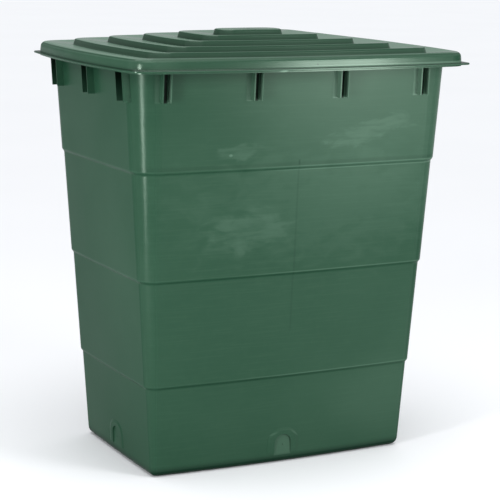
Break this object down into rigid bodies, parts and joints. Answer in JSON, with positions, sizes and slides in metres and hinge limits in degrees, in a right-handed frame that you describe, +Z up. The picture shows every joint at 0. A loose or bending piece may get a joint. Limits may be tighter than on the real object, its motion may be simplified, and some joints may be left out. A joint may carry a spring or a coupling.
{
  "type": "rainwater tank",
  "caption": "Free-standing rectangular plastic rainwater tank: a tapered, shouldered tub with a ribbed rim and tap pads, closed by a stepped lift-off lid.",
  "frame": {"origin": "middle of the tub's base, on the ground", "axes": "+Z is up, X runs along the two long sides, and the front long side faces -Y"},
  "size_m": [0.8874, 0.6952, 1.003],
  "materials": {
    "tub": "satin moulded polyethylene, lightly rubbed",
    "lid": "satin moulded polyethylene"
  },
  "bodies": {
    "tub": {"tub": "tub"},
    "lid": {"lid": "lid"}
  },
  "joints": [
    {"name": "lid_lift", "type": "slide", "parent": "tub", "child": "lid", "axis": [0, 0, 1], "range_m": [0, 0.15]}
  ]
}
